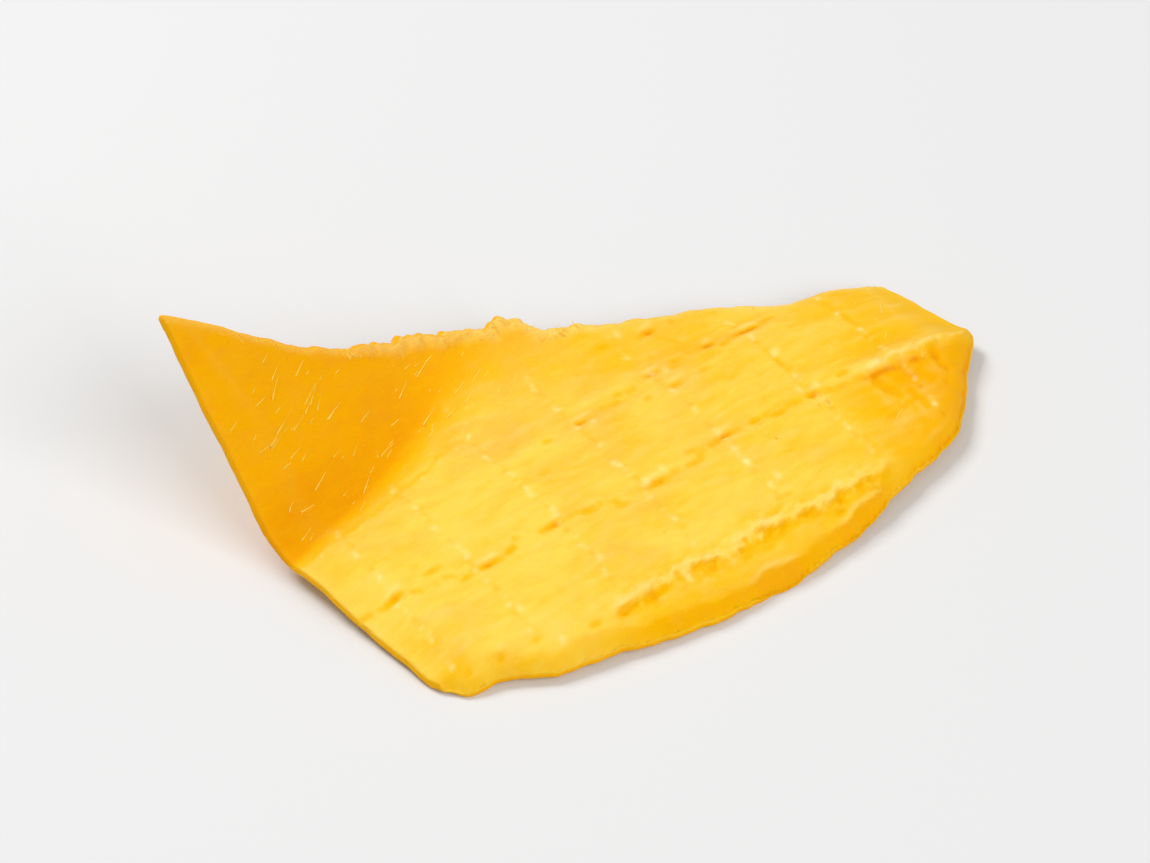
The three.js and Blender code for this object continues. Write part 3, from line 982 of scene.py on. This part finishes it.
stone_edge = sorted(outline["stone"], key=lambda place: place.x)
for _ in range(FUZZ_TRIES):
    root = draw.choice(stone_edge)
    is_frayed = FRAYED_PART[0] < root.x / MM < FRAYED_PART[1]
    if not is_frayed and draw.random() < LEFT_OUT_ELSEWHERE:
        continue
    inwards = draw.uniform(0.1, 0.9)
    found = on_skin(root.x / MM, root.y / MM - inwards)
    if not found:
        continue
    way = math.radians(draw.gauss(80, 55))
    length = draw.uniform(0.4, 1.2)
    lift = math.radians(draw.uniform(-10, 30))
    roll = draw.uniform(0, 2 * math.pi)
    is_coarse = is_frayed and draw.random() < COARSE_SHARE
    thick = draw.uniform(1.4, 2.2) if is_coarse else draw.uniform(0.5, 0.9)
    hairs.append((draw.choice((1, 2, 3)), laid(*found, way, length, thick, lift, roll)))
print("strands in all:", len(hairs))


# %% Join the strands
def join_copies(name, placed):
    """One piece made of a copy of a strand for each transform."""
    joined = bmesh.new()
    for kind, transform in placed:
        copy = STRANDS[kind].copy()
        copy.transform(transform)
        joined.from_mesh(copy)
        bpy.data.meshes.remove(copy)
    mesh = bpy.data.meshes.new(name)
    joined.to_mesh(mesh)
    joined.free()
    piece = bpy.data.objects.new(name, mesh)
    bpy.context.scene.collection.objects.link(piece)
    return piece


fibre_hairs = join_copies("loose_fibres", hairs)
print("faces in the loose fibres:", len(fibre_hairs.data.polygons))

# %% [markdown]
# ## The curled corner
#
# A stiff sheet can't bend in two directions at once, so its corner curls as a cone: about
# creases that fan out from one point. Each crease is one turn of all that lies beyond it,
# and the furthest comes first, so that the others still lie flat when their turn comes.

# %% Creases that fan out
CURL_APEX = Vector((-28.6, 1.6, 0)) * MM
LAST_HEADING = 36.4
CURL_TOTAL = 55
CREASES = 48


def turn(axis, degrees, centre):
    """Turns what is selected about an axis through the centre, anticlockwise seen from its tip."""
    side = axis.orthogonal().normalized()
    frame_of_turn = Matrix((axis, side, axis.cross(side))).transposed()
    bpy.ops.transform.rotate(
        value=math.radians(degrees),
        orient_axis="X",
        orient_type="GLOBAL",
        orient_matrix=frame_of_turn,
        orient_matrix_type="GLOBAL",
        constraint_axis=(True, False, False),
        center_override=centre,
    )


def curl(piece):
    """Curls up the corner of a piece that still lies flat."""
    places = places_of(piece)
    fan = np.degrees(np.arctan2(places[:, 1] - CURL_APEX.y / MM, places[:, 0] - CURL_APEX.x / MM))
    only(piece, "EDIT")
    everything("DESELECT")
    done = np.zeros(len(fan), bool)
    for crease in reversed(range(CREASES)):
        share = (crease + 0.5) / CREASES
        heading = LAST_HEADING * share
        shape = bmesh.from_edit_mesh(piece.data)
        shape.verts.ensure_lookup_table()
        for index in np.flatnonzero((fan > heading) & ~done):
            shape.verts[index].select_set(True)
            done[index] = True
        gentle_ends = 1.5 * (1 - (2 * share - 1) ** 2)
        angle = math.radians(heading)
        axis = Vector((math.cos(angle), math.sin(angle), 0))
        if done.any():
            turn(axis, CURL_TOTAL / CREASES * gentle_ends, CURL_APEX)
    only(piece)
    print(piece.name, "has", int(done.sum()), "points beyond the first crease")


# %% [markdown]
# ## Laying it down
#
# The slice is turned to its heading, leant onto its low spots, and pressed flat where it
# meets the surface it lies on. The middle of its footprint goes where the fixed model's is.

# %% Heading, lean and rest
FIBRE_HEADING = 35
LEAN_ABOUT_X, LEAN_ABOUT_Y = -0.8, -1.2
FLAT_SPOT = 0.27
UPWARDS = Vector((0, 0, 1))


def lay_down(piece, shift=None):
    """Lays a piece down, and returns the shift that brings the slice to its place."""
    only(piece, "EDIT")
    everything()
    turn(UPWARDS, FIBRE_HEADING, (0, 0, 0))
    turn(Vector((1, 0, 0)), LEAN_ABOUT_X, (0, 0, 0))
    turn(Vector((0, 1, 0)), LEAN_ABOUT_Y, (0, 0, 0))
    bpy.ops.object.mode_set(mode="OBJECT")
    if shift is None:
        places = places_of(piece) * MM
        middle = (places.min(axis=0) + places.max(axis=0)) / 2
        shift = (low + high) / 2 - Vector(middle)
        shift.z = -places[:, 2].min() - FLAT_SPOT * MM
    only(piece, "EDIT")
    everything()
    bpy.ops.transform.translate(value=shift)
    if pick(piece, lambda place: place.z < 0):
        bpy.ops.transform.resize(value=(1, 1, 0), center_override=(0, 0, 0))
    only(piece)
    return shift


for piece in (mango, fibre_hairs):
    curl(piece)
shift = lay_down(mango)
lay_down(fibre_hairs, shift)
for piece in (mango, fibre_hairs):
    only(piece)
    bpy.ops.object.shade_smooth()

# %% [markdown]
# ## A way to write materials
#
# A material is a small sum over the surface, so it reads best as one. Wire wraps a node's
# output, and Python's own signs on it add the Math nodes. Every other kind of node comes
# from one method, which takes its kind, its settings and what goes into it.


# %% Materials as sums
class Wire:
    """A node's output that can be used in a sum."""

    def __init__(self, recipe, socket):
        self.recipe = recipe
        self.socket = socket

    def maths(self, operation, first, second):
        return self.recipe.node("Math", {"operation": operation}, {0: first, 1: second})

    def __add__(self, other):
        return self.maths("ADD", self, other)

    def __sub__(self, other):
        return self.maths("SUBTRACT", self, other)

    def __rsub__(self, other):
        return self.maths("SUBTRACT", other, self)

    def __mul__(self, other):
        return self.maths("MULTIPLY", self, other)

    __radd__ = __add__
    __rmul__ = __mul__


class Recipe:
    """One material, built around a Principled shader."""

    def __init__(self, name):
        self.material = bpy.data.materials.new(name)
        self.material.use_nodes = True
        self.tree = self.material.node_tree
        self.shader = self.tree.nodes["Principled BSDF"]

    def node(self, kind, settings=None, inputs=None, output=0):
        """Adds a node, sets it, feeds it, and returns one of its outputs."""
        made = self.tree.nodes.new("ShaderNode" + kind)
        for name, value in (settings or {}).items():
            if name == "stops":
                while len(made.color_ramp.elements) < len(value):
                    made.color_ramp.elements.new(0.5)
                for element, (place, colour) in zip(made.color_ramp.elements, value):
                    element.position, element.color = place, colour
            else:
                setattr(made, name, value)
        self.feed(made, inputs or {})
        return Wire(self, made.outputs[output])

    def feed(self, made, inputs):
        """Links or sets a node's inputs."""
        for name, value in inputs.items():
            if isinstance(value, Wire):
                self.tree.links.new(value.socket, made.inputs[name])
            else:
                made.inputs[name].default_value = value

    def painted(self, name):
        """The attribute that was painted on the mesh under this name."""
        return self.node("Attribute", {"attribute_name": name}, output="Fac")

    def grain(self, size, stretch=1.0):
        """Noise with grains of this size in mm, drawn out along the fibres."""
        place = self.node("Attribute", {"attribute_name": "flat"}, output="Vector")
        scale = (1 / size / stretch, 1 / size, 1 / size)
        scaled = self.node("VectorMath", {"operation": "MULTIPLY"}, {0: place, 1: scale})
        return self.node("TexNoise", inputs={"Vector": scaled, "Scale": 1.0, "Detail": 3.0})

    def blend(self, first, second, share):
        """A colour between two colours."""
        settings = {"data_type": "RGBA", "clamp_factor": True}
        return self.node("Mix", settings, {0: share, 6: first, 7: second}, output=2)


def colour(red, green, blue):
    """A screen colour, 0 to 255, as the linear colour that a shader works with."""
    return tuple((part / 255) ** 2.2 for part in (red, green, blue)) + (1.0,)


# %% [markdown]
# ## The flesh
#
# The colour runs from light yellow over gold to deep amber, by the painted amber plus some
# unevenness of its own: broad blotches, mottling, and streaks along the fibres. Peach is
# mixed over it where it is painted and in soft patches, and pale over both. The flesh lets
# light in a little way, which softens its shadows and warms its thin edges, and its
# surface is matt with a faint waxy gloss.

# %% The material of the flesh
YELLOW_TO_AMBER = [
    (0.0, colour(254, 211, 82)),
    (0.3, colour(253, 194, 38)),
    (0.58, colour(252, 184, 4)),
    (0.77, colour(250, 175, 0)),
    (1.0, colour(236, 146, 0)),
]
PEACH, PALE = colour(254, 184, 84), colour(255, 232, 145)
BUMP_HEIGHT, LIGHT_DEPTH = 0.22 * MM, 0.7 * MM

flesh = Recipe("mango_flesh")
blotches = flesh.grain(5, 1.5)
warmth = flesh.grain(4.5, 1.4)
mottle = flesh.grain(1.3, 2)
streaks = flesh.grain(0.9, 7)
threads = flesh.grain(0.32, 3)
dust = flesh.grain(0.16)
painted_amber = flesh.painted("amber")

unevenness = 0.75 * (blotches - 0.5) + 0.25 * (streaks - 0.5) + 0.55 * (mottle - 0.5)
depth = painted_amber + unevenness * (1.2 - 0.8 * painted_amber)
body = flesh.node("ValToRGB", {"stops": YELLOW_TO_AMBER}, {0: 0.7 * depth + 0.07})
on_yellow = 1 - 0.9 * painted_amber
paleness = 0.9 * flesh.painted("pale") * (0.5 + threads) + 0.6 * (mottle - 0.5) * on_yellow
peachiness = (0.8 * flesh.painted("peach") + 2.2 * (warmth - 0.5)) * on_yellow
warmer = flesh.blend(body, PEACH, 0.7 * peachiness)
skin_colour = flesh.blend(warmer, PALE, paleness)
height = (0.15 * streaks + 0.35 * threads + 0.5 * mottle) * (0.35 + 0.65 * on_yellow) + 0.18 * dust
bump = flesh.node("Bump", inputs={"Strength": 0.9, "Distance": BUMP_HEIGHT, "Height": height})
flesh.feed(
    flesh.shader,
    {
        "Base Color": skin_colour,
        "Roughness": 0.5 + 0.25 * threads,
        "Normal": bump,
        "Subsurface Weight": 0.2,
        "Subsurface Radius": (1.0, 0.5, 0.1),
        "Subsurface Scale": LIGHT_DEPTH,
        "Specular IOR Level": 0.2,
        "Specular Tint": colour(255, 205, 90),
    },
)

# %% [markdown]
# ## The hairs and the hand-over
#
# The loose fibres are dry and pale, and need no more than a colour that varies a little
# between them. Both pieces then follow the fixed model's slice and stand in for it.

# %% Hairs, and what each piece stands for
HAIR_DARK, HAIR_LIGHT = colour(255, 204, 62), colour(255, 222, 105)
TONES_PER_METRE = 300

hair = Recipe("loose_fibre")
place = hair.node("TexCoord", output="Object")
tone = hair.node("TexNoise", inputs={"Vector": place, "Scale": TONES_PER_METRE})
hair.feed(
    hair.shader,
    {
        "Base Color": hair.blend(HAIR_DARK, HAIR_LIGHT, tone),
        "Roughness": 0.6,
        "Specular IOR Level": 0.2,
    },
)

for piece, recipe in ((mango, flesh), (fibre_hairs, hair)):
    piece.data.materials.append(recipe.material)
    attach(piece, "root")
    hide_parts(NODE)

# %% [markdown]
# ## The floor
#
# A sheet of pale matt card, so large that its edges stay out of the picture. It throws some
# light back up under the slice, and its shadow shows where the slice touches it.

# %% A pale floor
FLOOR_SIZE = 6
CARD_WHITE = (0.78, 0.78, 0.78, 1)

bpy.ops.mesh.primitive_plane_add(size=FLOOR_SIZE)
floor = bpy.context.object
floor.name = "floor"
card = Recipe("floor_card")
card.feed(card.shader, {"Base Color": CARD_WHITE, "Roughness": 0.9, "Specular IOR Level": 0.1})
floor.data.materials.append(card.material)

# %% [markdown]
# ## The light
#
# Soft light, as in a studio. An even white sky fills the shadows. One softbox stands behind
# the slice, on the left, and lights its flat part aslant, which brings out the grain. A
# larger one stands in front, on the right, and looks straight at the curled corner, which
# turns its back to the first.

# %% A sky and two softboxes
SKY_STRENGTH = 0.4

world = bpy.data.worlds.new("studio")
bpy.context.scene.world = world
world.use_nodes = True
sky = world.node_tree.nodes["Background"].inputs
sky["Color"].default_value = (1, 1, 1, 1)
sky["Strength"].default_value = SKY_STRENGTH


def softbox(name, place, size, power):
    """A square light of this size in metres and power in watts that faces the slice."""
    lamp = bpy.data.lights.new(name, "AREA")
    lamp.energy, lamp.size = power, size
    light = bpy.data.objects.new(name, lamp)
    bpy.context.scene.collection.objects.link(light)
    light.location = place
    light.rotation_euler = (-light.location).to_track_quat("-Z", "Y").to_euler()
    print(name, "stands", round(light.location.length, 2), "m away")


softbox("key", place=(-0.4, 0.28, 0.58), size=0.28, power=3.35)
softbox("fill", place=(0.5, -0.5, 0.55), size=0.6, power=4.2)

# %% [markdown]
# ## The camera
#
# It looks down from the front at the photograph's angle, through a long lens from some way
# off, which keeps the near and the far side of the slice at one scale. The standard view
# keeps the bright yellow clear, and a filmic one would dull it.

# %% The photograph's view
DISTANCE = 0.62
ELEVATION = math.radians(45)
FOCAL_LENGTH = 200
TARGET = Vector((0, 0, 0.008))

lens = bpy.data.cameras.new("camera")
lens.lens = FOCAL_LENGTH
camera = bpy.data.objects.new("camera", lens)
bpy.context.scene.collection.objects.link(camera)
camera.location = TARGET + DISTANCE * Vector((0, -math.cos(ELEVATION), math.sin(ELEVATION)))
camera.rotation_euler = (TARGET - camera.location).to_track_quat("-Z", "Y").to_euler()
bpy.context.scene.camera = camera
bpy.context.scene.view_settings.view_transform = "Standard"
